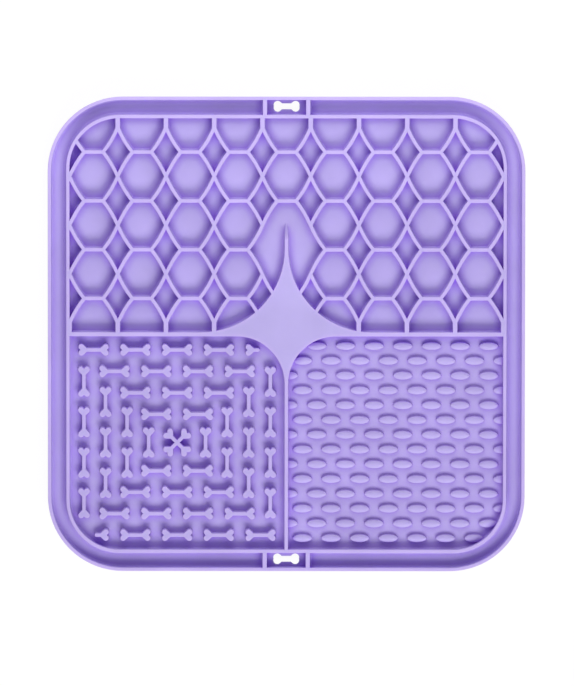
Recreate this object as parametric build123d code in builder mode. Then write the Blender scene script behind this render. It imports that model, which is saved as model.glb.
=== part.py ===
from build123d import *
import math
import os

os.makedirs("parts", exist_ok=True)

# Square silicone lick mat. X runs across the mat, Y towards the honeycomb half and Z up.
# The lips of the suction cups stand on the zero plane under the middle of the mat.

# Outline of the mat and its raised border
mat_side = 200.0
corner_radius = 31.4
rim_width = 1.4
gutter_width = 6.3
wall_width = 1.4
wall_corner_radius = 22.3

# Heights, from the floor that the mat stands on upwards
cup_height = 3.5
sheet_thickness = 1.6
wall_height = 4.5
bone_height = 3.4
oval_height = 1.9

# Bars across the gutter and the hanging holes between them
bar_width = 1.75
bar_spacing = 18.1
hole_length = 11.0
hole_end_width = 4.7
hole_lobe_diameter = 3.5
hole_fork_length = 0.7
hole_waist_width = 2.65

# Dividers and the four-pointed star where they meet
cross_divider_width = 1.65
lower_divider_width = 1.5
star_upper_radius = 35.1
star_lower_radius = 20.1
spike_width = 1.48
spike_gap = 9.5
spike_point_length = 2.0
spike_ramp_length = 7.0

# Honeycomb of the upper half
column_count = 9
row_share = 0.228
flat_length = 8.0
rib_width = 1.45
rib_bow = 0.4

# Bones of the lower left field, as rings from the wall inwards
ring_shares = (0.868, 0.667, 0.466, 0.265)
ring_row_counts = (5, 4, 3, 2)
bone_row_pitch_share = 0.389
bone_column_pitch_share = 0.38
bone_length = 12.65
bone_end_width = 4.9
bone_lobe_diameter = 2.4
bone_fork_length = 1.3
bone_shaft_width = 1.5
crossed_bone_length = 13.1

# Ovals of the lower right field
oval_row_count = 14
ovals_per_row = 8
oval_length = 8.2
oval_width = 3.4
oval_edge_gap = 4.45

# Suction cups under the mat
cups_per_side = 6
cup_pitch_share = 0.14
cup_lip_radius = 8.0
cup_neck_radius = 4.0
cup_lip_land = 0.6
cup_lip_edge = 0.5
cup_hollow_depth = 1.8

# Reach of a cutting shape past the piece that it cuts
overrun = 1.0

# Levels and half sizes that several pieces share
mat_half = mat_side / 2
rim_inner_half = mat_half - rim_width
wall_outer_half = rim_inner_half - gutter_width
field_half = wall_outer_half - wall_width
rim_inner_radius = corner_radius - rim_width
field_radius = wall_corner_radius - wall_width
floor_height = cup_height + sheet_thickness
sheet_plane = Plane.XY.offset(cup_height)
floor_plane = Plane.XY.offset(floor_height)
cross_half = cross_divider_width / 2
lower_half = lower_divider_width / 2
spike_half = spike_width / 2
border_width = rim_width + gutter_width
border_middle = mat_half - border_width / 2
gutter_middle = rim_inner_half - gutter_width / 2
tab_half = (bar_spacing + bar_width) / 2


def bone_outline(length, end_width, lobe_diameter, fork_length, shaft_width):
    """Draw a bone along X: a shaft whose two ends each fork into a pair of round lobes."""
    lobe_x = (length - lobe_diameter) / 2
    lobe_y = (end_width - lobe_diameter) / 2
    fork_span = math.hypot(fork_length, lobe_y)
    fork_angle = math.degrees(math.atan2(lobe_y, fork_length))
    Rectangle(2 * (lobe_x - fork_length), shaft_width)
    for end in (-1, 1):
        for side in (-1, 1):
            with Locations((end * (lobe_x - fork_length / 2), side * lobe_y / 2)):
                SlotCenterToCenter(fork_span, lobe_diameter, rotation=end * side * fork_angle)


# Base sheet: the floor under the three licking fields and their wall
with BuildPart() as field_floor:
    with BuildSketch(sheet_plane):
        RectangleRounded(2 * wall_outer_half, 2 * wall_outer_half, wall_corner_radius)
    extrude(amount=sheet_thickness)
field_floor.part.label = "field_floor"
export_step(field_floor.part, "parts/field_floor.step")

# Base sheet: the floor of the gutter, one half on each side of the hanging holes
for side_name, side in (("left", -1), ("right", 1)):
    with BuildPart() as gutter_floor:
        with BuildSketch(sheet_plane):
            RectangleRounded(mat_side, mat_side, corner_radius)
            RectangleRounded(2 * wall_outer_half, 2 * wall_outer_half, wall_corner_radius, mode=Mode.SUBTRACT)
            with Locations((side * (tab_half - mat_half), 0)):
                Rectangle(mat_side, mat_side, mode=Mode.SUBTRACT)
        extrude(amount=sheet_thickness)
    gutter_floor.part.label = f"gutter_floor_{side_name}"
    export_step(gutter_floor.part, f"parts/gutter_floor_{side_name}.step")

# Base sheet: the two short floors that carry the bone-shaped hanging holes
with BuildSketch() as hang_hole:
    bone_outline(hole_length, hole_end_width, hole_lobe_diameter, hole_fork_length, hole_waist_width)

for end_name, end in (("top", 1), ("bottom", -1)):
    with BuildPart() as hang_tab:
        with BuildSketch(sheet_plane):
            with Locations((0, end * border_middle)):
                Rectangle(2 * tab_half, border_width)
            with Locations((0, end * gutter_middle)):
                add(hang_hole.sketch, mode=Mode.SUBTRACT)
        extrude(amount=sheet_thickness)
    hang_tab.part.label = f"hang_tab_{end_name}"
    export_step(hang_tab.part, f"parts/hang_tab_{end_name}.step")

# Outer rim around the whole mat
with BuildPart() as outer_rim:
    with BuildSketch(floor_plane):
        RectangleRounded(mat_side, mat_side, corner_radius)
        RectangleRounded(2 * rim_inner_half, 2 * rim_inner_half, rim_inner_radius, mode=Mode.SUBTRACT)
    extrude(amount=wall_height)
outer_rim.part.label = "outer_rim"
export_step(outer_rim.part, "parts/outer_rim.step")

# Inner wall between the gutter and the licking fields
with BuildPart() as inner_wall:
    with BuildSketch(floor_plane):
        RectangleRounded(2 * wall_outer_half, 2 * wall_outer_half, wall_corner_radius)
        RectangleRounded(2 * field_half, 2 * field_half, field_radius, mode=Mode.SUBTRACT)
    extrude(amount=wall_height)
inner_wall.part.label = "inner_wall"
export_step(inner_wall.part, "parts/inner_wall.step")

# Bars that close the gutter on both sides of each hanging hole
for end_name, end in (("top", 1), ("bottom", -1)):
    for side_name, side in (("left", -1), ("right", 1)):
        with BuildPart() as gutter_bar:
            with BuildSketch(floor_plane):
                with Locations((side * bar_spacing / 2, end * gutter_middle)):
                    Rectangle(bar_width, gutter_width)
            extrude(amount=wall_height)
        gutter_bar.part.label = f"gutter_bar_{end_name}_{side_name}"
        export_step(gutter_bar.part, f"parts/gutter_bar_{end_name}_{side_name}.step")

# Straight dividers from the star to the inner wall
star_arm_reach = spike_half + star_upper_radius
star_shoulder = cross_half + star_upper_radius
star_knee = lower_half + star_lower_radius
star_foot_reach = cross_half + star_lower_radius
divider_length = field_half - star_arm_reach
for side_name, side in (("left", -1), ("right", 1)):
    with BuildPart() as cross_divider:
        with BuildSketch(floor_plane):
            with Locations((side * (star_arm_reach + divider_length / 2), 0)):
                Rectangle(divider_length, cross_divider_width)
        extrude(amount=wall_height)
    cross_divider.part.label = f"{side_name}_divider"
    export_step(cross_divider.part, f"parts/{side_name}_divider.step")

foot_length = field_half - star_foot_reach
with BuildPart() as lower_divider:
    with BuildSketch(floor_plane):
        with Locations((0, -star_foot_reach - foot_length / 2)):
            Rectangle(lower_divider_width, foot_length)
    extrude(amount=wall_height)
lower_divider.part.label = "lower_divider"
export_step(lower_divider.part, "parts/lower_divider.step")

# Honeycomb lattice: flats and crossings are spaced over the height of the upper field
upper_height = field_half - cross_half
column_pitch = 2 * field_half / column_count
row_pitch = row_share * upper_height
flat_half = flat_length / 2
slant_reach = column_pitch / 2 - flat_half
lattice_middle = cross_half + upper_height / 2
flat_rows = [lattice_middle + row_pitch * step for step in (1.5, 0.5, -0.5, -1.5)]
cell_rows = [lattice_middle + row_pitch * step for step in (1, 0, -1)]
spike_tip = flat_rows[1] - spike_gap

# Star: a thin spike into the honeycomb, two arms along the dividers and a broad foot below
with BuildSketch() as star_outline:
    with BuildLine():
        Line((0, spike_tip), (spike_half, spike_tip - spike_point_length))
        Line((spike_half, spike_tip - spike_point_length), (spike_half, star_shoulder))
        RadiusArc((spike_half, star_shoulder), (star_arm_reach, cross_half), -star_upper_radius)
        Line((star_arm_reach, cross_half), (star_arm_reach, -cross_half))
        Line((star_arm_reach, -cross_half), (star_knee, -cross_half))
        RadiusArc((star_knee, -cross_half), (lower_half, -star_foot_reach), -star_lower_radius)
        Line((lower_half, -star_foot_reach), (0, -star_foot_reach))
        mirror(about=Plane.YZ)
    make_face()

with BuildPart() as star_plate:
    with BuildSketch(floor_plane):
        add(star_outline.sketch)
    extrude(amount=wall_height)
    with BuildSketch(Plane.YZ):
        with BuildLine():
            Polyline(
                (spike_tip, floor_height),
                (spike_tip - spike_ramp_length, floor_height + wall_height),
                (spike_tip, floor_height + wall_height),
                close=True,
            )
        make_face()
    extrude(amount=spike_width, both=True, mode=Mode.SUBTRACT)
star_plate.part.label = "star_plate"
export_step(star_plate.part, "parts/star_plate.step")

# Outline of the upper field, between the wall, the dividers and the star
with BuildSketch() as upper_field:
    RectangleRounded(2 * field_half, 2 * field_half, field_radius)
    with Locations((0, cross_half - field_half)):
        Rectangle(2 * field_half, 2 * field_half, mode=Mode.SUBTRACT)
    add(star_outline.sketch, mode=Mode.SUBTRACT)

# Hollow of a whole honeycomb cell, with sides that bow outwards
with BuildSketch() as hex_hollow:
    with BuildLine():
        Line((-flat_half, row_pitch / 2), (flat_half, row_pitch / 2))
        SagittaArc((flat_half, row_pitch / 2), (column_pitch / 2, 0), rib_bow)
        SagittaArc((column_pitch / 2, 0), (flat_half, -row_pitch / 2), rib_bow)
        Line((flat_half, -row_pitch / 2), (-flat_half, -row_pitch / 2))
        SagittaArc((-flat_half, -row_pitch / 2), (-column_pitch / 2, 0), rib_bow)
        SagittaArc((-column_pitch / 2, 0), (-flat_half, row_pitch / 2), rib_bow)
    make_face()
    offset(amount=-rib_width / 2, kind=Kind.INTERSECTION)

# Hollow of the diamond between four cells
with BuildSketch() as diamond_hollow:
    with BuildLine():
        SagittaArc((0, row_pitch / 2), (slant_reach, 0), -rib_bow)
        SagittaArc((slant_reach, 0), (0, -row_pitch / 2), -rib_bow)
        SagittaArc((0, -row_pitch / 2), (-slant_reach, 0), -rib_bow)
        SagittaArc((-slant_reach, 0), (0, row_pitch / 2), -rib_bow)
    make_face()
    offset(amount=-rib_width / 2, kind=Kind.INTERSECTION)

# Hollow of an end cell, which stands on a flat and runs straight into the wall
end_reach = row_pitch + overrun
with BuildSketch() as end_hollow:
    with BuildLine():
        Line((flat_half, 0), (-flat_half, 0))
        SagittaArc((-flat_half, 0), (-column_pitch / 2, row_pitch / 2), rib_bow)
        Line((-column_pitch / 2, row_pitch / 2), (-column_pitch / 2, end_reach))
        Line((-column_pitch / 2, end_reach), (column_pitch / 2, end_reach))
        Line((column_pitch / 2, end_reach), (column_pitch / 2, row_pitch / 2))
        SagittaArc((column_pitch / 2, row_pitch / 2), (flat_half, 0), rib_bow)
    make_face()
    offset(amount=-rib_width / 2, kind=Kind.INTERSECTION)

# Hollow of the tall arch that leaves room for the spike of the star
arch_side = column_pitch - flat_half
with BuildSketch() as arch_hollow:
    with BuildLine():
        Line((0, flat_rows[1]), (flat_half, flat_rows[1]))
        SagittaArc((flat_half, flat_rows[1]), (column_pitch / 2, cell_rows[1]), rib_bow)
        SagittaArc((column_pitch / 2, cell_rows[1]), (arch_side, flat_rows[2]), -rib_bow)
        SagittaArc((arch_side, flat_rows[2]), (column_pitch / 2, cell_rows[2]), -rib_bow)
        SagittaArc((column_pitch / 2, cell_rows[2]), (flat_half, flat_rows[3]), rib_bow)
        Line((flat_half, flat_rows[3]), (0, flat_rows[3]))
        mirror(about=Plane.YZ)
    make_face()
    offset(amount=-rib_width / 2, kind=Kind.INTERSECTION)

# Honeycomb ribs, one column of cells after the other
for column in range(column_count):
    column_x = column_pitch * (column + 0.5) - field_half
    with BuildPart() as honeycomb_column:
        with BuildSketch(floor_plane):
            with Locations((column_x, lattice_middle)):
                Rectangle(column_pitch, upper_height)
            add(upper_field.sketch, mode=Mode.INTERSECT)
            with Locations([(column_x, y) for y in cell_rows]):
                add(hex_hollow.sketch, mode=Mode.SUBTRACT)
            with Locations([(column_x + step * column_pitch, y) for step in (-0.5, 0.5) for y in flat_rows]):
                add(diamond_hollow.sketch, mode=Mode.SUBTRACT)
            with Locations((column_x, flat_rows[0])):
                add(end_hollow.sketch, mode=Mode.SUBTRACT)
            with Locations((column_x, flat_rows[3])):
                add(end_hollow.sketch, rotation=180, mode=Mode.SUBTRACT)
            add(arch_hollow.sketch, mode=Mode.SUBTRACT)
        extrude(amount=wall_height)
    honeycomb_column.part.label = f"honeycomb_column_{column + 1}"
    export_step(honeycomb_column.part, f"parts/honeycomb_column_{column + 1}.step")

# Middles of the two lower fields
lower_width = field_half - lower_half
lower_height = field_half - cross_half
left_centre = (-lower_half - lower_width / 2, -cross_half - lower_height / 2)
right_centre = (lower_half + lower_width / 2, -cross_half - lower_height / 2)

# Bones in square rings around the middle of the left field. Where the outer ring comes close to the star
# and to the rounded corner of the wall, the bone there keeps only its other half.
bone_row_pitch = bone_row_pitch_share * lower_height / 2
bone_column_pitch = bone_column_pitch_share * lower_height / 2
stub_x = bone_row_pitch * (ring_row_counts[0] - 1) / 2
stub_y = ring_shares[0] * lower_height / 2
with BuildSketch() as bone:
    bone_outline(bone_length, bone_end_width, bone_lobe_diameter, bone_fork_length, bone_shaft_width)

for ring, (ring_share, row_count) in enumerate(zip(ring_shares, ring_row_counts), start=1):
    ring_side = ring_share * lower_height
    with BuildPart() as bones_ring:
        with BuildSketch(floor_plane):
            with Locations(left_centre):
                with GridLocations(bone_row_pitch, ring_side, row_count, 2):
                    add(bone.sketch)
                with GridLocations(ring_side, bone_column_pitch, 2, row_count - 1):
                    add(bone.sketch, rotation=90)
                for corner in (-1, 1):
                    with Locations((corner * (stub_x + bone_length / 4), corner * stub_y)):
                        Rectangle(bone_length / 2, bone_end_width, mode=Mode.SUBTRACT)
        extrude(amount=bone_height)
    bones_ring.part.label = f"bones_ring_{ring}"
    export_step(bones_ring.part, f"parts/bones_ring_{ring}.step")

# Two longer bones crossed in the middle of the rings
with BuildSketch() as long_bone:
    bone_outline(crossed_bone_length, bone_end_width, bone_lobe_diameter, bone_fork_length, bone_shaft_width)

with BuildPart() as crossed_bones:
    with BuildSketch(floor_plane):
        with Locations(left_centre):
            add(long_bone.sketch, rotation=45)
            add(long_bone.sketch, rotation=-45)
    extrude(amount=bone_height)
crossed_bones.part.label = "crossed_bones"
export_step(crossed_bones.part, "parts/crossed_bones.step")

# Outline of the right field, which the ovals fill from wall to wall
with BuildSketch() as oval_field:
    with Locations(right_centre):
        Rectangle(lower_width, lower_height)
    RectangleRounded(2 * field_half, 2 * field_half, field_radius, mode=Mode.INTERSECT)
    add(star_outline.sketch, mode=Mode.SUBTRACT)

# Ovals in staggered rows, cut off where they meet the walls and the star
oval_pitch = lower_width / (ovals_per_row - 0.5)
oval_row_pitch = (lower_height - 2 * oval_edge_gap) / (oval_row_count - 1)
for row in range(oval_row_count):
    first_x = lower_half + oval_pitch / 2 * (row % 2)
    row_y = -cross_half - oval_edge_gap - oval_row_pitch * row
    with BuildPart() as oval_row:
        with BuildSketch(floor_plane):
            with Locations([(first_x + oval_pitch * step, row_y) for step in range(ovals_per_row)]):
                Ellipse(oval_length / 2, oval_width / 2)
            add(oval_field.sketch, mode=Mode.INTERSECT)
        extrude(amount=oval_height)
    oval_row.part.label = f"oval_row_{row + 1:02d}"
    export_step(oval_row.part, f"parts/oval_row_{row + 1:02d}.step")

# One suction cup: a short neck that flares to a thin lip around a shallow hollow
with BuildPart() as suction_cup:
    with BuildSketch(Plane.XZ):
        with BuildLine():
            Line((0, cup_height), (0, cup_hollow_depth))
            TangentArc((0, cup_hollow_depth), (cup_lip_radius - cup_lip_land, 0), tangent=(1, 0))
            Line((cup_lip_radius - cup_lip_land, 0), (cup_lip_radius, 0))
            Line((cup_lip_radius, 0), (cup_lip_radius, cup_lip_edge))
            Line((cup_lip_radius, cup_lip_edge), (cup_neck_radius, cup_height))
            Line((cup_neck_radius, cup_height), (0, cup_height))
        make_face()
    revolve(axis=Axis.Z)

# Rows of suction cups under the base sheet
cup_pitch = cup_pitch_share * mat_side
for row in range(cups_per_side):
    row_y = cup_pitch * (row - (cups_per_side - 1) / 2)
    with BuildPart() as cup_row:
        with Locations((0, row_y)):
            with GridLocations(cup_pitch, 0, cups_per_side, 1):
                add(suction_cup.part)
    cup_row.part.label = f"suction_cup_row_{row + 1}"
    export_step(cup_row.part, f"parts/suction_cup_row_{row + 1}.step")
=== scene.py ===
import math

import bmesh
import bpy
from mathutils import Matrix, Vector
from mathutils.geometry import delaunay_2d_cdt


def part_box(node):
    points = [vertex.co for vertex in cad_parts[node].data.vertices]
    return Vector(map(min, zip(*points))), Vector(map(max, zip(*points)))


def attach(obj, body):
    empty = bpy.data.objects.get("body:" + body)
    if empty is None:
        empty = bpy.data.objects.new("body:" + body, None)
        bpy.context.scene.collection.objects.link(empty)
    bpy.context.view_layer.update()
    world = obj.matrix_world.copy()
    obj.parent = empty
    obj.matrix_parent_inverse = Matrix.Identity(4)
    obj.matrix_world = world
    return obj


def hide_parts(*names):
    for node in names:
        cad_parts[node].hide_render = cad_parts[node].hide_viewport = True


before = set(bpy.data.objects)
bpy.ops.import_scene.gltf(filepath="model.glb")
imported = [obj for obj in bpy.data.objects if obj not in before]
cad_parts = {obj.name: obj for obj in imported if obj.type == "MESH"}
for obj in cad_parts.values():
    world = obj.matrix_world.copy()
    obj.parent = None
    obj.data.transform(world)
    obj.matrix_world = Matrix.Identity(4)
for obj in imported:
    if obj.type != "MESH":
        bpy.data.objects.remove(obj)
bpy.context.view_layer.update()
scene = bpy.context.scene


# Block of the mat: lavender silicone, cast in one pour in a mould with a rounded square outline.
# Only its outer side and its rounded edges are made here; the hollows that leave the rim, walls
# and ribs standing are pressed into it in the next sections.
mat_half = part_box("outer_rim")[1].x
top_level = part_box("outer_rim")[1].z
sheet_level, floor_level = (corner.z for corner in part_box("field_floor"))
wall_height = top_level - floor_level
corner_radius = 0.0314
side_draft = 0.0006
corner_segments = 18
edge_round = 0.00016
round_segments = 3
level_slack = 0.00001

mat = bmesh.new()
bmesh.ops.create_grid(
    mat, x_segments=1, y_segments=1, size=mat_half, matrix=Matrix.Translation((0, 0, sheet_level))
)
bmesh.ops.bevel(
    mat, geom=mat.verts[:], offset=corner_radius, offset_type="OFFSET", segments=corner_segments,
    profile=0.5, affect="VERTICES", material=-1,
)
underside = mat.verts[:]
raised = bmesh.ops.extrude_face_region(mat, geom=mat.faces[:])["geom"]
bmesh.ops.translate(
    mat, verts=[part for part in raised if isinstance(part, bmesh.types.BMVert)],
    vec=(0, 0, top_level - sheet_level),
)
drawn_in = 1 - side_draft / mat_half
bmesh.ops.scale(mat, verts=underside, vec=(drawn_in, drawn_in, 1))
bmesh.ops.recalc_face_normals(mat, faces=mat.faces[:])
level_edges = [edge for edge in mat.edges if abs(edge.verts[0].co.z - edge.verts[1].co.z) < level_slack]
bmesh.ops.bevel(
    mat, geom=level_edges, offset=edge_round, offset_type="OFFSET", segments=round_segments,
    profile=0.5, affect="EDGES", material=-1,
)
flat_sides = [face for face in mat.faces if len(face.verts) > 4]
bmesh.ops.delete(mat, geom=flat_sides, context="FACES_ONLY")


# Gutter around the licking fields: a channel pressed between the outer rim and the inner wall, in two
# halves that end at bars. Its floor runs up into the walls in a wide fillet, so that it wipes clean.
rim_width = 0.0014
rim_inner_half = mat_half - rim_width
rim_inner_radius = 0.03
wall_outer_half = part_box("inner_wall")[1].x
wall_corner_radius = 0.0223
bar_spacing = 0.0181
bar_width = 0.00175
gutter_fillet = 0.0008
wall_draft = 0.00008
crown_shares = (0.6, 0.3, 0.1)


def flat_outline(mesh, corners, level):
    """Lay a flat face whose corners, given counter-clockwise as x, y and a radius, are rounded."""
    verts = [mesh.verts.new((x, y, level)) for x, y, radius in corners]
    mesh.faces.new(verts)
    for vert, (x, y, radius) in zip(verts, corners):
        if radius:
            bmesh.ops.bevel(
                mesh, geom=[vert], offset=radius, offset_type="OFFSET", segments=corner_segments,
                profile=0.5, affect="VERTICES", material=-1,
            )


def mould(mesh, faces, rise, first_round, last_round, crown=0, crown_reach=0):
    """Raise flat faces into bosses, or sink them into hollows, with a fillet, a wall and another fillet.

    A boss may end in a low crown, which rises in ever flatter steps over the reach given.
    """
    mesh.normal_update()
    for face in faces:
        if face.normal.z < 0:
            face.normal_flip()
    turns = [math.pi / 2 * step / round_segments for step in range(round_segments + 1)]
    curve = [
        (math.sin(end) - math.sin(start), math.cos(start) - math.cos(end))
        for start, end in zip(turns, turns[1:])
    ]
    way = math.copysign(1, rise)
    steps = [(first_round * inwards, way * first_round * along) for inwards, along in curve]
    steps.append((wall_draft, rise - way * (first_round + last_round + crown)))
    steps += [(last_round * inwards, way * last_round * along) for inwards, along in reversed(curve)]
    if crown:
        steps += [(crown_reach / len(crown_shares), way * crown * share) for share in crown_shares]
    for inwards, upwards in steps:
        # Sides too short for this step are merged, as they would turn over
        crowded = set()
        for face in faces:
            for corner in face.loops:
                shrink = sum(
                    math.copysign(inwards / math.tan(loop.calc_angle() / 2), 1 if loop.is_convex else -1)
                    for loop in (corner, corner.link_loop_next)
                )
                if corner.edge.calc_length() < shrink + level_slack:
                    crowded.add(corner.edge)
        if crowded:
            bmesh.ops.collapse(mesh, edges=list(crowded))
            mesh.normal_update()
        bmesh.ops.inset_individual(
            mesh, faces=faces, thickness=inwards, depth=upwards, use_even_offset=True
        )


def join_into(whole, part):
    """Move all of one bmesh into another."""
    carrier = bpy.data.meshes.new("carrier")
    part.to_mesh(carrier)
    part.free()
    whole.from_mesh(carrier)
    bpy.data.meshes.remove(carrier)


gutter_out = rim_inner_half + edge_round
gutter_in = wall_outer_half - edge_round
gutter_end = (bar_spacing + bar_width) / 2 - edge_round
gutter = bmesh.new()
for side in (-1, 1):
    corners = [
        (side * gutter_end, gutter_out, 0),
        (side * gutter_out, gutter_out, rim_inner_radius + edge_round),
        (side * gutter_out, -gutter_out, rim_inner_radius + edge_round),
        (side * gutter_end, -gutter_out, 0),
        (side * gutter_end, -gutter_in, 0),
        (side * gutter_in, -gutter_in, wall_corner_radius - edge_round),
        (side * gutter_in, gutter_in, wall_corner_radius - edge_round),
        (side * gutter_end, gutter_in, 0),
    ]
    flat_outline(gutter, corners[::-side], top_level)
mould(gutter, gutter.faces[:], -wall_height, edge_round, gutter_fillet)
join_into(mat, gutter)


# Hanging tabs: the two short floors between the gutter's bars. Each has a bone-shaped hole moulded
# through the sheet, so that the mat hangs on a hook to dry.
tab_half = (bar_spacing - bar_width) / 2 + edge_round
tab_fillet = 0.00015
hole_length = 0.011
hole_end_width = 0.0047
hole_lobe = 0.0035
hole_fork = 0.0007
hole_waist = 0.00265
hole_round = 0.00015
lobe_segments = 10


def bone_outline(length, end_width, lobe, fork, shaft):
    """Outline of a bone along X, counter-clockwise: a shaft whose ends fork into two round lobes each."""
    lobe_x, lobe_y, radius = (length - lobe) / 2, (end_width - lobe) / 2, lobe / 2
    lean = math.atan2(lobe_y, fork)
    first = max(lean - math.pi / 2, -math.asin(min(lobe_y / radius, 1)))
    last = lean + math.pi / 2
    turns = [first + (last - first) * step / lobe_segments for step in range(lobe_segments + 1)]
    arc = [(lobe_x + radius * math.cos(turn), lobe_y + radius * math.sin(turn)) for turn in turns]
    notch = (arc[0][0] - arc[0][1] / math.tan(lean), 0)
    shoulder = (arc[-1][0] - (arc[-1][1] - shaft / 2) / math.tan(lean), shaft / 2)
    quarter = [notch, *(arc if arc[0][1] > level_slack else arc[1:]), shoulder]
    upper = quarter + [(-x, y) for x, y in reversed(quarter)]
    return upper + [(-x, -y) for x, y in upper[1:-1]]


def close_flat(mesh, edges):
    """Fill the flat region between closed loops of open edges."""
    verts, loops, left = [], [], set(edges)
    while left:
        edge = left.pop()
        loop = list(edge.verts)
        while loop[-1] is not loop[0]:
            edge = next(other for other in loop[-1].link_edges if other in left)
            left.remove(edge)
            loop.append(edge.other_vert(loop[-1]))
        loops.append(range(len(verts), len(verts) + len(loop) - 1))
        verts += loop[:-1]
    made = delaunay_2d_cdt([vert.co.xy for vert in verts], [], loops, 2, level_slack / 100)
    for triangle in made[2]:
        mesh.faces.new([verts[made[3][corner][0]] for corner in triangle])


tabs = bmesh.new()
for end in (-1, 1):
    low, high = sorted((end * gutter_in, end * gutter_out))
    corners = [(-tab_half, low, 0), (tab_half, low, 0), (tab_half, high, 0), (-tab_half, high, 0)]
    flat_outline(tabs, corners, top_level)
tab_floors = tabs.faces[:]
mould(tabs, tab_floors, -wall_height, edge_round, tab_fillet)
bmesh.ops.delete(tabs, geom=tab_floors, context="FACES_ONLY")
gutter_middle = (rim_inner_half + wall_outer_half) / 2
hole_points = bone_outline(
    hole_length + 2 * hole_round, hole_end_width + 2 * hole_round, hole_lobe + 2 * hole_round,
    hole_fork, hole_waist + 2 * hole_round,
)
holes = [
    tabs.faces.new([tabs.verts.new((x, y + end * gutter_middle, floor_level)) for x, y in hole_points])
    for end in (-1, 1)
]
floor_edges = [
    edge for edge in tabs.edges if edge.is_boundary and edge.verts[0].co.z < floor_level + level_slack
]
close_flat(tabs, floor_edges)
mould(tabs, holes, sheet_level - floor_level, hole_round, 0)
bmesh.ops.delete(tabs, geom=holes, context="FACES_ONLY")
join_into(mat, tabs)


# Lower fields: two square hollows for the bones and the ovals. The straight dividers, the inner wall
# and the lower half of the star are what stays standing between them.
wall_width = 0.0014
field_half = wall_outer_half - wall_width
field_radius = wall_corner_radius - wall_width
cross_half = 0.000825
lower_half = 0.00075
star_lower_radius = 0.0201
field_fillet = 0.0006

fields = bmesh.new()
field_out = field_half + edge_round
field_top = edge_round - cross_half
field_side = lower_half - edge_round
for side in (-1, 1):
    corners = [
        (side * field_side, field_top, star_lower_radius + edge_round),
        (side * field_out, field_top, 0),
        (side * field_out, -field_out, field_radius + edge_round),
        (side * field_side, -field_out, 0),
    ]
    flat_outline(fields, corners[::-side], top_level)
mould(fields, fields.faces[:], -wall_height, edge_round, field_fillet)
join_into(mat, fields)


# Honeycomb of the upper field: thin ribs around six-sided cells, diamonds between them and half cells
# at the wall, the divider and the star. The tall arch in the middle leaves room for the star's spike.
column_count = 9
column_pitch = 2 * field_half / column_count
row_share = 0.228
row_pitch = row_share * (field_half - cross_half)
flat_half = 0.004
rib_width = 0.00145
rib_bow = 0.0004
rib_segments = 4
cell_fillet = 0.00045
stem_extra = 0.00022
star_upper_radius = 0.0351
spike_half = 0.00074
spike_gap = 0.0095
spike_segments = 10

lattice_middle = (field_half + cross_half) / 2
flat_rows = [lattice_middle + row_pitch * step for step in (1.5, 0.5, -0.5, -1.5)]
cell_rows = [lattice_middle + row_pitch * step for step in (1, 0, -1)]
column_xs = [column_pitch * (column + 0.5) - field_half for column in range(column_count)]
half_pitch = column_pitch / 2
half_row = row_pitch / 2
slant = half_pitch - flat_half
arch_half = column_pitch - flat_half
cell_corners = [
    (half_pitch, 0, rib_bow), (flat_half, half_row, 0), (-flat_half, half_row, rib_bow),
    (-half_pitch, 0, rib_bow), (-flat_half, -half_row, 0), (flat_half, -half_row, rib_bow),
]
diamond_corners = [
    (slant, 0, -rib_bow), (0, half_row, -rib_bow), (-slant, 0, -rib_bow), (0, -half_row, -rib_bow),
]
stem_x, stem_y = half_pitch - stem_extra, half_row * (1 - stem_extra / slant)
end_corners = [
    (-flat_half, 0, 0), (flat_half, 0, rib_bow), (stem_x, stem_y, 0), (stem_x, row_pitch, 0),
    (-stem_x, row_pitch, 0), (-stem_x, stem_y, rib_bow),
]
arch_corners = [
    (flat_half, flat_rows[3], rib_bow), (half_pitch, cell_rows[2], -rib_bow),
    (arch_half, flat_rows[2], -rib_bow), (half_pitch, cell_rows[1], rib_bow),
    (flat_half, flat_rows[1], 0), (-flat_half, flat_rows[1], rib_bow),
    (-half_pitch, cell_rows[1], -rib_bow), (-arch_half, flat_rows[2], -rib_bow),
    (-half_pitch, cell_rows[2], rib_bow), (-flat_half, flat_rows[3], 0),
]
cells = bmesh.new()


def lay_cell(corners, x, y, way=1):
    """Lay one cell by the middle lines of its ribs. Each corner says how far the side after it bows out."""
    verts = []
    for (x0, y0, bow), (x1, y1, _) in zip(corners, corners[1:] + corners[:1]):
        run, rise = x1 - x0, y1 - y0
        for step in range(rib_segments if bow else 1):
            share = step / rib_segments
            out = 4 * bow * share * (1 - share) / math.hypot(run, rise)
            across = x0 + run * share + rise * out
            along = y0 + rise * share - run * out
            verts.append(cells.verts.new((x + way * across, y + way * along, top_level)))
    cells.faces.new(verts)


for x in column_xs:
    middle = abs(x) < half_pitch
    for y in cell_rows[:1] if middle else cell_rows:
        lay_cell(cell_corners, x, y)
    lay_cell(end_corners, x, flat_rows[0])
    if not middle:
        lay_cell(end_corners, x, flat_rows[3], way=-1)
for x in [-field_half] + [x + half_pitch for x in column_xs]:
    for y in flat_rows:
        if abs(x) > column_pitch or y != flat_rows[2]:
            lay_cell(diamond_corners, x, y)
lay_cell(arch_corners, 0, 0)

cells.normal_update()
mouths = set(cells.faces)
bmesh.ops.inset_individual(
    cells, faces=list(mouths), thickness=rib_width / 2 - edge_round, use_even_offset=True
)
bmesh.ops.delete(cells, geom=[face for face in cells.faces if face not in mouths], context="FACES")


def trim(picked, point, outwards, keep=False):
    """Cut the picked cells along an upright plane and drop what lies beyond it."""
    faces = [face for face in cells.faces if picked(face.calc_center_median())]
    geometry = {part for face in faces for part in (face, *face.edges, *face.verts)}
    bmesh.ops.bisect_plane(
        cells, geom=list(geometry), dist=level_slack / 100, plane_co=point, plane_no=outwards,
        clear_outer=not keep,
    )


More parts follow.
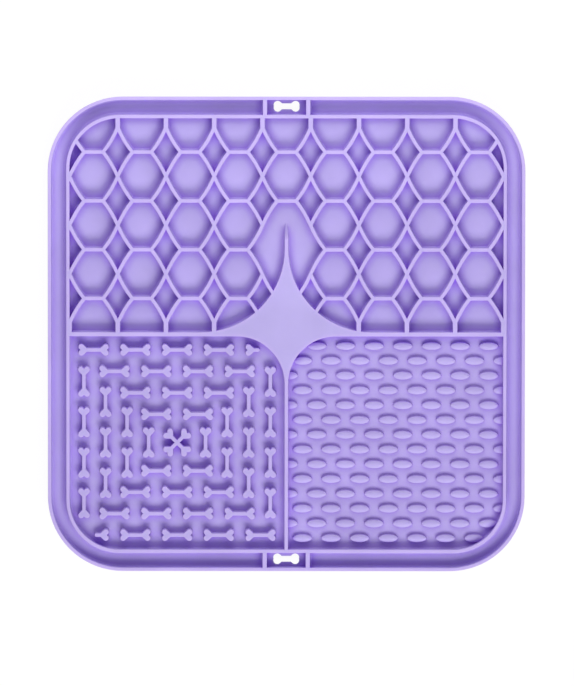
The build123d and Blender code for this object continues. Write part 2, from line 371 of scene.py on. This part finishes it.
def trim_round(picked, x, y, radius, start):
    """Cut the picked cells along a quarter circle, chord by chord, from the start angle on."""
    turn = math.pi / 2 / corner_segments
    for step in range(corner_segments):
        angle = start + turn * (step + 0.5)
        outwards = Vector((math.cos(angle), math.sin(angle), 0))
        trim(picked, Vector((x, y, 0)) + outwards * radius * math.cos(turn / 2), outwards)


def anywhere(centre):
    return True


def in_arch(centre):
    return abs(centre.x) < arch_half and flat_rows[3] < centre.y < flat_rows[1]


trim(anywhere, (0, cross_half - edge_round, 0), (0, -1, 0))
trim(anywhere, (0, field_out, 0), (0, 1, 0))
trim(in_arch, (0, 0, 0), (1, 0, 0), keep=True)
bmesh.ops.split_edges(
    cells, edges=[edge for edge in cells.edges if all(abs(vert.co.x) < level_slack for vert in edge.verts)]
)
star_arm = spike_half + star_upper_radius
star_shoulder = cross_half + star_upper_radius
spike_mouth = spike_half - edge_round
bend = field_half - field_radius
for side, corner_start, star_start in ((-1, math.pi / 2, math.pi * 1.5), (1, 0, math.pi)):

    def in_corner(centre):
        return side * centre.x > bend and centre.y > bend

    def beside_star(centre):
        return side * centre.x > level_slack and centre.y < flat_rows[1]

    trim(anywhere, (side * field_out, 0, 0), (side, 0, 0))
    trim_round(in_corner, side * bend, bend, field_radius + edge_round, corner_start)
    trim_round(beside_star, side * star_arm, star_shoulder, star_upper_radius + edge_round, star_start)
    trim(beside_star, (side * spike_mouth, 0, 0), (-side, 0, 0))

# The two halves of the arch meet again above the spike
spike_tip = flat_rows[1] - spike_gap
spike_end = spike_tip - edge_round
spike_zone_half = 0.8 * half_pitch


def around_spike(centre):
    return abs(centre.x) < spike_zone_half and flat_rows[3] < centre.y < flat_rows[1]


def on_spike(edge, low, high):
    return all(
        abs(abs(vert.co.x) - spike_mouth) < level_slack
        and low - level_slack < vert.co.y < high + level_slack
        for vert in edge.verts
    )


trim(around_spike, (0, spike_end, 0), (0, 1, 0), keep=True)
gap_edges = [edge for edge in cells.edges if on_spike(edge, spike_end, flat_rows[1])]
bmesh.ops.bridge_loops(cells, edges=gap_edges)
arch_faces = [face for face in cells.faces if around_spike(face.calc_center_median())]
bmesh.ops.dissolve_faces(cells, faces=arch_faces)
spike_edges = [edge for edge in cells.edges if on_spike(edge, star_shoulder, spike_end)]
bmesh.ops.subdivide_edges(cells, edges=spike_edges, cuts=spike_segments)
mould(cells, cells.faces[:], -wall_height, edge_round, cell_fillet)
join_into(mat, cells)


# Body of the mat: the flat tops of the rim, walls, ribs and star and the flat underside close the block
# into one moulding, and the tip of the star's spike runs down to the floor. Its matte silicone lets some
# light through, and its colour has painted shade in nooks, a painted lighter top over a darker floor, and a
# painted glow where a wall is thin.
spike_ramp_length = 0.007
spike_narrowing = 0.45
crease_angle = math.radians(38)
level_normal = 0.9999
# painted shade by height: the top colour is lighter and the floor colour darker, as if the floor were
# shaded
painted_lit_top = (0.535, 0.487, 0.805, 1)
painted_shaded_floor = (0.51, 0.45, 0.775, 1)
# painted shade: this darker colour is laid into nooks, corners and wall feet, where shade falls
painted_nook_shade = (0.27, 0.075, 0.69, 1)
# painted glow: thin walls are coloured lighter towards their tops, as if lit through
painted_glow_gain = (1.25, 1.11, 1.12, 1)
painted_shade_reach = 0.0038
thin_reach = 0.0015
occlusion_samples = 4
silicone_ior = 1.41
glow_weight = 0.3
glow_radius = (1.0, 0.8, 1.2)
glow_scale = 0.0007
mottle_scale = 45
mottle_detail = 4
mottle_low, mottle_high = 0.3, 0.7
mottle_spread = 0.05
grain_scale = 1400
grain_detail = 3
grain_strength = 0.5
grain_depth = 0.00004
roughness_low, roughness_high = 0.48, 0.62

open_tops = [
    edge for edge in mat.edges if edge.is_boundary and edge.verts[0].co.z > top_level - level_slack
]
close_flat(mat, open_tops)
open_bottoms = [
    edge for edge in mat.edges if edge.is_boundary and edge.verts[0].co.z < sheet_level + level_slack
]
close_flat(mat, open_bottoms)
bmesh.ops.recalc_face_normals(mat, faces=mat.faces[:])
ramp_start = spike_tip - spike_ramp_length
ramp_end = spike_tip + cell_fillet + edge_round
spike_reach = spike_half + cell_fillet + wall_draft + level_slack
for vert in mat.verts:
    x, y, z = vert.co
    if abs(x) < spike_reach and ramp_start < y < ramp_end and z > floor_level + level_slack:
        share = min((y - ramp_start) / spike_ramp_length, 1)
        fade = share * share * (3 - 2 * share)
        vert.co = (x * (1 - spike_narrowing * fade), y, z - (z - floor_level) * fade)

lavender_silicone = bpy.data.materials.new("lavender_silicone")
lavender_silicone.use_nodes = True
nodes, links = lavender_silicone.node_tree.nodes, lavender_silicone.node_tree.links
shader = nodes["Principled BSDF"]
shader.inputs["IOR"].default_value = silicone_ior
shader.inputs["Subsurface Weight"].default_value = glow_weight
shader.inputs["Subsurface Radius"].default_value = glow_radius
shader.inputs["Subsurface Scale"].default_value = glow_scale
place = nodes.new("ShaderNodeTexCoord")
level = nodes.new("ShaderNodeSeparateXYZ")
height = nodes.new("ShaderNodeMapRange")
height.inputs["From Min"].default_value = floor_level
height.inputs["From Max"].default_value = top_level
# painted shade by height: darker floor colour low down, lighter top colour high up
painted_height_shade = nodes.new("ShaderNodeMix")
painted_height_shade.data_type = "RGBA"
painted_height_shade.inputs["A"].default_value = painted_shaded_floor
painted_height_shade.inputs["B"].default_value = painted_lit_top
# painted shade: occlusion darkens the colour in nooks, corners and at the feet of walls
painted_shade_occlusion = nodes.new("ShaderNodeAmbientOcclusion")
painted_shade_occlusion.samples = occlusion_samples
painted_shade_occlusion.inputs["Distance"].default_value = painted_shade_reach
painted_shade_mix = nodes.new("ShaderNodeMix")
painted_shade_mix.data_type = "RGBA"
painted_shade_mix.inputs["A"].default_value = painted_nook_shade
# painted glow: a thickness test lightens the colour where walls are thin and high
thick = nodes.new("ShaderNodeAmbientOcclusion")
thick.samples = occlusion_samples
thick.inside = True
thick.only_local = True
thick.inputs["Distance"].default_value = thin_reach
thin = nodes.new("ShaderNodeMath")
thin.operation = "SUBTRACT"
thin.inputs[0].default_value = 1
painted_glow_mask = nodes.new("ShaderNodeMath")
painted_glow_mask.operation = "MULTIPLY"
painted_glow = nodes.new("ShaderNodeMix")
painted_glow.data_type = "RGBA"
painted_glow.blend_type = "MULTIPLY"
painted_glow.inputs["B"].default_value = painted_glow_gain
mottle = nodes.new("ShaderNodeTexNoise")
mottle.inputs["Scale"].default_value = mottle_scale
mottle.inputs["Detail"].default_value = mottle_detail
mottle_level = nodes.new("ShaderNodeMapRange")
mottle_level.inputs["From Min"].default_value = mottle_low
mottle_level.inputs["From Max"].default_value = mottle_high
mottle_level.inputs["To Min"].default_value = 1 - mottle_spread
mottle_level.inputs["To Max"].default_value = 1 + mottle_spread
tint = nodes.new("ShaderNodeHueSaturation")
grain = nodes.new("ShaderNodeTexNoise")
grain.inputs["Scale"].default_value = grain_scale
grain.inputs["Detail"].default_value = grain_detail
grain_bump = nodes.new("ShaderNodeBump")
grain_bump.inputs["Strength"].default_value = grain_strength
grain_bump.inputs["Distance"].default_value = grain_depth
shine = nodes.new("ShaderNodeMapRange")
shine.inputs["To Min"].default_value = roughness_low
shine.inputs["To Max"].default_value = roughness_high
for source, target in (
    (place.outputs["Object"], mottle.inputs["Vector"]),
    (place.outputs["Object"], grain.inputs["Vector"]),
    (place.outputs["Object"], level.inputs["Vector"]),
    (level.outputs["Z"], height.inputs["Value"]),
    (height.outputs["Result"], painted_height_shade.inputs["Factor"]),
    (painted_height_shade.outputs["Result"], painted_shade_mix.inputs["B"]),
    (painted_shade_occlusion.outputs["AO"], painted_shade_mix.inputs["Factor"]),
    (thick.outputs["AO"], thin.inputs[1]),
    (thin.outputs["Value"], painted_glow_mask.inputs[0]),
    (height.outputs["Result"], painted_glow_mask.inputs[1]),
    (painted_glow_mask.outputs["Value"], painted_glow.inputs["Factor"]),
    (painted_shade_mix.outputs["Result"], painted_glow.inputs["A"]),
    (painted_glow.outputs["Result"], tint.inputs["Color"]),
    (mottle.outputs["Fac"], mottle_level.inputs["Value"]),
    (mottle_level.outputs["Result"], tint.inputs["Value"]),
    (tint.outputs["Color"], shader.inputs["Base Color"]),
    (grain.outputs["Fac"], grain_bump.inputs["Height"]),
    (grain.outputs["Fac"], shine.inputs["Value"]),
    (shine.outputs["Result"], shader.inputs["Roughness"]),
    (grain_bump.outputs["Normal"], shader.inputs["Normal"]),
):
    links.new(source, target)


def finish_moulding(mesh, name, solids):
    """Make a closed mesh a piece of lavender silicone that stands for the named solids of the frame."""
    for face in mesh.faces:
        face.smooth = abs(face.normal.z) < level_normal
    for edge in mesh.edges:
        edge.smooth = edge.calc_face_angle(0) < crease_angle
    data = bpy.data.meshes.new(name)
    mesh.to_mesh(data)
    mesh.free()
    piece = bpy.data.objects.new(name, data)
    scene.collection.objects.link(piece)
    data.materials.append(lavender_silicone)
    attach(piece, "root")
    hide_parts(*solids)


bone_solids = [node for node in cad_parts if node.startswith(("bones_", "crossed_"))]
oval_solids = [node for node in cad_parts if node.startswith("oval_")]
cup_solids = [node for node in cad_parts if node.startswith("suction_")]
body_solids = [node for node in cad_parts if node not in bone_solids + oval_solids + cup_solids]
finish_moulding(mat, "mat_body", body_solids)


# Bones of the lower left field: small raised bones in four square rings around a crossed pair, moulded
# with the floor. Beside the star and the rounded corner there is only room for half a bone.
bone_foot = 0.0003
bone_round = 0.00018
bone_length = 0.01265
bone_end_width = 0.0049
bone_lobe = 0.0024
bone_fork = 0.0013
bone_shaft = 0.0015
crossed_length = 0.0131
bone_row_share = 0.389
bone_column_share = 0.38
ring_shares = (0.868, 0.667, 0.466, 0.265)
ring_row_counts = (5, 4, 3, 2)
bone_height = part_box("crossed_bones")[1].z - floor_level
field_side_length = field_half - cross_half
bone_row_pitch = bone_row_share * field_side_length / 2
bone_column_pitch = bone_column_share * field_side_length / 2
bones_x = -(field_half + lower_half) / 2
bones_y = -(field_half + cross_half) / 2

wide = 2 * (bone_foot + wall_draft)
bone_widths = (bone_end_width + wide, bone_lobe + wide, bone_fork, bone_shaft + wide)
bone = bone_outline(bone_length + wide, *bone_widths)
long_bone = bone_outline(crossed_length + wide, *bone_widths)
tip = (bone_shaft + wide) / 2
tip_turns = [math.pi * (step / lobe_segments - 0.5) for step in range(lobe_segments + 1)]
half_bone = [(x, y) for x, y in bone if x < -tip]
half_bone += [(tip * (math.cos(turn) - 1), tip * math.sin(turn)) for turn in tip_turns]
bones = bmesh.new()


def turned(points, turn):
    """Turn flat points about the middle."""
    cosine, sine = math.cos(turn), math.sin(turn)
    return [(x * cosine - y * sine, x * sine + y * cosine) for x, y in points]


def lay_bone(outline, x, y, turn=0):
    """Lay the foot of one bone on the floor of its field."""
    middle = Vector((bones_x + x, bones_y + y, floor_level))
    bones.faces.new([bones.verts.new(middle + Vector((*point, 0))) for point in turned(outline, turn)])


for ring_share, row_count in zip(ring_shares, ring_row_counts):
    ring_half = ring_share * field_side_length / 2
    for side in (-1, 1):
        for step in range(row_count):
            x = bone_row_pitch * (step - (row_count - 1) / 2)
            if row_count == ring_row_counts[0] and step == (0 if side < 0 else row_count - 1):
                lay_bone(half_bone, x, side * ring_half, 0 if side > 0 else math.pi)
            else:
                lay_bone(bone, x, side * ring_half)
        for step in range(row_count - 1):
            y = bone_column_pitch * (step - (row_count - 2) / 2)
            lay_bone(bone, side * ring_half, y, math.pi / 2)
arm = [(x, y) for x, y in long_bone if x > 0 and y < 0]
arm += [(x, y) for x, y in long_bone if x > 0 and y >= 0]
cross = []
for quarter in range(4):
    cross += turned(arm + [(tip, tip)], math.pi / 4 + math.pi / 2 * quarter)
lay_bone(cross, 0, 0)
mould(bones, bones.faces[:], bone_height, bone_foot, bone_round)
bone_bottoms = [edge for edge in bones.edges if edge.is_boundary]
bmesh.ops.triangle_fill(bones, edges=bone_bottoms, use_beauty=True, normal=(0, 0, -1))
bmesh.ops.recalc_face_normals(bones, faces=bones.faces[:])
finish_moulding(bones, "bones", bone_solids)


# Ovals of the lower right field: staggered rows of low lozenges with a soft crown, moulded with the
# floor. Those beside a wall run into it.
oval_length = 0.0082
oval_width = 0.0034
oval_row_count = 14
ovals_per_row = 8
oval_edge_gap = 0.00445
oval_foot = 0.00015
oval_round = 0.00025
oval_crown = 0.00035
oval_crown_reach = 0.00105
oval_segments = 20
wall_bite = 0.0007
oval_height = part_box("oval_row_05")[1].z - floor_level
oval_pitch = (field_half - lower_half) / (ovals_per_row - 0.5)
oval_row_pitch = (field_half - cross_half - 2 * oval_edge_gap) / (oval_row_count - 1)

ovals = bmesh.new()
oval_size = Matrix.Diagonal((oval_length / 2 + oval_foot, oval_width / 2 + oval_foot, 1, 1))
for row in range(oval_row_count):
    for step in range(ovals_per_row):
        x = lower_half + oval_pitch * (step + 0.5 * (row % 2))
        y = -cross_half - oval_edge_gap - oval_row_pitch * row
        bmesh.ops.create_circle(
            ovals, cap_ends=True, radius=1, segments=oval_segments,
            matrix=Matrix.Translation((x, y, floor_level)) @ oval_size,
        )
for limit, way in ((lower_half - wall_bite, -1), (field_half + wall_bite, 1)):
    bmesh.ops.bisect_plane(
        ovals, geom=ovals.verts[:] + ovals.edges[:] + ovals.faces[:], dist=level_slack / 100,
        plane_co=(limit, 0, 0), plane_no=(way, 0, 0), clear_outer=True,
    )


def past_corner(centre):
    """Tell whether an oval lies outside the rounded corner of the field."""
    reach = (centre.xy - Vector((bend, -bend))).length
    return centre.x > bend and centre.y < -bend and reach > field_radius + oval_width


outside = [face for face in ovals.faces if past_corner(face.calc_center_median())]
bmesh.ops.delete(ovals, geom=outside, context="FACES")
mould(ovals, ovals.faces[:], oval_height, oval_foot, oval_round, oval_crown, oval_crown_reach)
oval_bottoms = [edge for edge in ovals.edges if edge.is_boundary]
bmesh.ops.triangle_fill(ovals, edges=oval_bottoms, use_beauty=True, normal=(0, 0, -1))
bmesh.ops.recalc_face_normals(ovals, faces=ovals.faces[:])
finish_moulding(ovals, "ovals", oval_solids)


# Suction cups under the sheet: six rows of six shallow cups moulded with it, each a short neck that flares
# to a thin lip. They aren't seen in the photo, and hold the mat on a floor or a tiled wall.
cups_per_side = 6
cup_pitch_share = 0.28
cup_pitch = cup_pitch_share * mat_half
cup_lip_radius = 0.008
cup_neck_radius = 0.004
cup_lip_land = 0.0006
cup_lip_edge = 0.0005
cup_hollow_depth = 0.0018
cup_hollow_steps = 6
cup_fillet = 0.0006
cup_lip_round = 0.00015
cup_lip_segments = 2
cup_lip_angle = math.radians(15)
cup_segments = 36

hollow_reach = cup_lip_radius - cup_lip_land
hollow_curve = (hollow_reach ** 2 + cup_hollow_depth ** 2) / (2 * cup_hollow_depth)
hollow_turn = math.asin(hollow_reach / hollow_curve)
cup_profile = []
for step in range(cup_hollow_steps + 1):
    turn = hollow_turn * step / cup_hollow_steps
    cup_profile.append(
        (hollow_curve * math.sin(turn), cup_hollow_depth - hollow_curve * (1 - math.cos(turn)))
    )
cup_profile += [(cup_lip_radius, 0), (cup_lip_radius, cup_lip_edge)]
neck_lean = math.atan2(sheet_level - cup_lip_edge, cup_lip_radius - cup_neck_radius)
neck_cut = cup_fillet * math.tan((math.pi - neck_lean) / 4)
for step in range(round_segments + 1):
    share = step / round_segments
    back, along = neck_cut * (1 - share) ** 2, neck_cut * share ** 2
    cup_profile.append((
        cup_neck_radius + back * math.cos(neck_lean) + along, sheet_level - back * math.sin(neck_lean),
    ))
cup_profile.append((0, sheet_level))
cups = bmesh.new()
first_cup = (cups_per_side - 1) / 2
for row in range(cups_per_side):
    for column in range(cups_per_side):
        middle = Vector((column - first_cup, row - first_cup, 0)) * cup_pitch
        verts = [cups.verts.new(middle + Vector((radius, 0, z))) for radius, z in cup_profile]
        edges = [cups.edges.new(pair) for pair in zip(verts, verts[1:])]
        bmesh.ops.spin(
            cups, geom=verts + edges, cent=middle, axis=(0, 0, 1), angle=2 * math.pi,
            steps=cup_segments, use_merge=True,
        )
bmesh.ops.remove_doubles(cups, verts=cups.verts[:], dist=level_slack)
bmesh.ops.recalc_face_normals(cups, faces=cups.faces[:])
lip_edges = [
    edge for edge in cups.edges
    if edge.calc_face_angle(0) > cup_lip_angle
    and max(vert.co.z for vert in edge.verts) < cup_lip_edge + level_slack
]
bmesh.ops.bevel(
    cups, geom=lip_edges, offset=cup_lip_round, offset_type="OFFSET", segments=cup_lip_segments,
    profile=0.5, affect="EDGES", material=-1,
)
finish_moulding(cups, "suction_cups", cup_solids)


# Floor: a plain white table top, which isn't part of the mat. The camera sees it as a white background,
# and a small share of its own shading is left in, so that it keeps a faint shadow.
floor_half = 2.0
table_colour = (0.8, 0.8, 0.8, 1)
table_roughness = 0.9
background_strength = 1.05
background_share = 0.9

floor_mesh = bmesh.new()
bmesh.ops.create_grid(floor_mesh, x_segments=1, y_segments=1, size=floor_half)
floor_data = bpy.data.meshes.new("floor")
floor_mesh.to_mesh(floor_data)
floor_mesh.free()
floor = bpy.data.objects.new("floor", floor_data)
scene.collection.objects.link(floor)
white_table = bpy.data.materials.new("white_table")
white_table.use_nodes = True
nodes, links = white_table.node_tree.nodes, white_table.node_tree.links
table_top = nodes["Principled BSDF"]
table_top.inputs["Base Color"].default_value = table_colour
table_top.inputs["Roughness"].default_value = table_roughness
background = nodes.new("ShaderNodeEmission")
background.inputs["Strength"].default_value = background_strength
path = nodes.new("ShaderNodeLightPath")
camera_or_gloss = nodes.new("ShaderNodeMath")
any_sight = nodes.new("ShaderNodeMath")
seen = nodes.new("ShaderNodeMath")
seen.operation = "MULTIPLY"
seen.inputs[1].default_value = background_share
mix = nodes.new("ShaderNodeMixShader")
for source, target in (
    (path.outputs["Is Camera Ray"], camera_or_gloss.inputs[0]),
    (path.outputs["Is Glossy Ray"], camera_or_gloss.inputs[1]),
    (camera_or_gloss.outputs["Value"], any_sight.inputs[0]),
    (path.outputs["Is Transmission Ray"], any_sight.inputs[1]),
    (any_sight.outputs["Value"], seen.inputs[0]),
    (seen.outputs["Value"], mix.inputs["Fac"]),
    (table_top.outputs["BSDF"], mix.inputs[1]),
    (background.outputs["Emission"], mix.inputs[2]),
    (mix.outputs["Shader"], nodes["Material Output"].inputs["Surface"]),
):
    links.new(source, target)
floor_data.materials.append(white_table)


# Light: a wide soft box on the near side casts the shadows, and a small one close to the far side lifts
# the honeycomb. A weak violet fill stands for the light that silicone scatters into its own hollows.
fill_colour = (0.8, 0.66, 1, 1)
fill_strength = 0.38

world = bpy.data.worlds.new("fill")
scene.world = world
world.use_nodes = True
fill = world.node_tree.nodes["Background"]
fill.inputs["Color"].default_value = fill_colour
fill.inputs["Strength"].default_value = fill_strength
for name, turn_degrees, height_degrees, distance, width, depth, power in (
    ("near_box", -78, 45, 1.5, 1.2, 0.6, 17),
    ("far_box", 90, 35, 0.3, 0.4, 0.2, 0.44),
):
    lamp_data = bpy.data.lights.new(name, "AREA")
    lamp_data.shape = "RECTANGLE"
    lamp_data.size = width
    lamp_data.size_y = depth
    lamp_data.energy = power
    lamp = bpy.data.objects.new(name, lamp_data)
    scene.collection.objects.link(lamp)
    turn, lift = math.radians(turn_degrees), math.radians(height_degrees)
    lamp.location = distance * Vector(
        (math.cos(lift) * math.cos(turn), math.cos(lift) * math.sin(turn), math.sin(lift))
    )
    lamp.rotation_euler = (-lamp.location).to_track_quat("-Z", "Y").to_euler()


# Camera: above the mat and a little towards its honeycomb half, and so far away that the walls hardly
# show their sides, as in the photo.
view_distance = 6
view_tilt = math.radians(6.2)
view_roll = math.radians(0.055)
aim = Vector((0.00025, -0.00364, top_level))
photo_height_px = 686
mat_width_px = 477.2
sensor_height_mm = 24

view_height = 2 * mat_half * photo_height_px / mat_width_px
camera_data = bpy.data.cameras.new("camera")
camera_data.sensor_fit = "VERTICAL"
camera_data.sensor_height = sensor_height_mm
camera_data.lens = sensor_height_mm * view_distance / view_height
camera = bpy.data.objects.new("camera", camera_data)
scene.collection.objects.link(camera)
view_way = Matrix.Rotation(view_roll, 3, "Z") @ Vector((0, math.sin(view_tilt), math.cos(view_tilt)))
camera.location = aim + view_distance * view_way
camera.rotation_euler = (-view_tilt, 0, view_roll)
scene.camera = camera
scene.view_settings.view_transform = "Standard"
